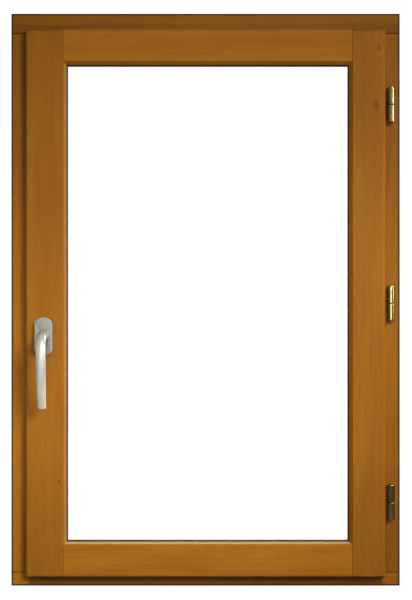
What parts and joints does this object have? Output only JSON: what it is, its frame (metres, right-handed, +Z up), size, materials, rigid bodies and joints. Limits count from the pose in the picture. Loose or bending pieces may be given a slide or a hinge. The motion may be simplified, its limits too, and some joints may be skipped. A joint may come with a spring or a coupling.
{
  "type": "casement window",
  "caption": "Inward-opening wooden casement window: one glazed sash on barrel hinges in a rebated frame, with a turning lever handle that drives an edge lock.",
  "frame": {"origin": "middle of the frame's underside, half way through the frame's depth", "axes": "+X to the right as seen from the room, +Y outdoors, +Z up"},
  "size_m": [0.7, 0.1823, 1.031],
  "materials": {
    "oak_frame": "stained and clear varnished oak, satin",
    "oak_sash": "stained and clear varnished oak, satin",
    "glass": "clear float glass",
    "gasket": "matt rubber",
    "silicone": "matt sealant",
    "spacer": "mill finish",
    "brass": "satin, lightly tarnished",
    "satin_aluminium": "satin anodised",
    "steel": "plain",
    "zinc_plate": "zinc plated",
    "moulding": "moulded nylon"
  },
  "bodies": {
    "frame": {"frame_head": "oak_frame", "frame_sill": "oak_frame", "frame_jamb_lock": "oak_frame", "frame_jamb_hinge": "oak_frame", "frame_gasket": "gasket", "keep_top": "zinc_plate", "keep_middle": "zinc_plate", "keep_bottom": "zinc_plate", "keep_screws": "zinc_plate", "hinge_top_lower": "brass", "hinge_top_pin": "steel", "hinge_top_ring": "brass", "hinge_middle_lower": "brass", "hinge_middle_pin": "steel", "hinge_middle_ring": "brass", "hinge_bottom_lower": "brass", "hinge_bottom_pin": "steel", "hinge_bottom_ring": "brass"},
    "sash": {"hinge_top_upper": "brass", "hinge_middle_upper": "brass", "hinge_bottom_upper": "brass", "sash_stile_lock": "oak_sash", "sash_stile_hinge": "oak_sash", "sash_rail_top": "oak_sash", "sash_rail_bottom": "oak_sash", "weather_bar": "oak_sash", "sash_gasket": "gasket", "glass_inner": "glass", "glass_outer": "glass", "spacer_bar": "spacer", "edge_seal": "gasket", "setting_blocks": "gasket", "glazing_seal_inner": "silicone", "glazing_seal_outer": "silicone", "bead_top": "oak_sash", "bead_bottom": "oak_sash", "bead_lock": "oak_sash", "bead_hinge": "oak_sash", "bead_pins": "steel", "handle_base": "moulding", "handle_rosette": "satin_aluminium", "handle_collar": "satin_aluminium", "handle_screws": "zinc_plate", "gearbox_case": "zinc_plate", "gearbox_cover": "zinc_plate", "faceplate": "zinc_plate", "faceplate_screws": "zinc_plate"},
    "handle": {"handle_lever": "satin_aluminium", "handle_spindle": "steel", "grub_screw": "steel", "gearbox_pinion": "steel"},
    "drive_rod": {"drive_rod": "steel", "cam_pins": "steel"},
    "roller_top": {"roller_top": "zinc_plate"},
    "roller_middle": {"roller_middle": "zinc_plate"},
    "roller_bottom": {"roller_bottom": "zinc_plate"}
  },
  "joints": [
    {"name": "sash_swing", "type": "hinge", "parent": "frame", "child": "sash", "pos_m": [0.3333, -0.0415, 0.509], "axis": [0, 0, 1], "range_deg": [0, 150]},
    {"name": "handle_turn", "type": "hinge", "parent": "sash", "child": "handle", "pos_m": [-0.289, -0.06, 0.45], "axis": [0, -1, 0], "range_deg": [0, 90]},
    {"name": "rod_slide", "type": "slide", "parent": "sash", "child": "drive_rod", "axis": [0, 0, -1], "range_m": [0, 0.0142]},
    {"name": "roller_top_spin", "type": "hinge", "parent": "drive_rod", "child": "roller_top", "pos_m": [-0.308, -0.021, 0.886], "axis": [1, 0, 0], "continuous": true},
    {"name": "roller_middle_spin", "type": "hinge", "parent": "drive_rod", "child": "roller_middle", "pos_m": [-0.308, -0.021, 0.638], "axis": [1, 0, 0], "continuous": true},
    {"name": "roller_bottom_spin", "type": "hinge", "parent": "drive_rod", "child": "roller_bottom", "pos_m": [-0.308, -0.021, 0.15], "axis": [1, 0, 0], "continuous": true}
  ],
  "couplings": [
    {"joint": "rod_slide", "follows": "handle_turn", "m_per_rad": 0.009}
  ]
}
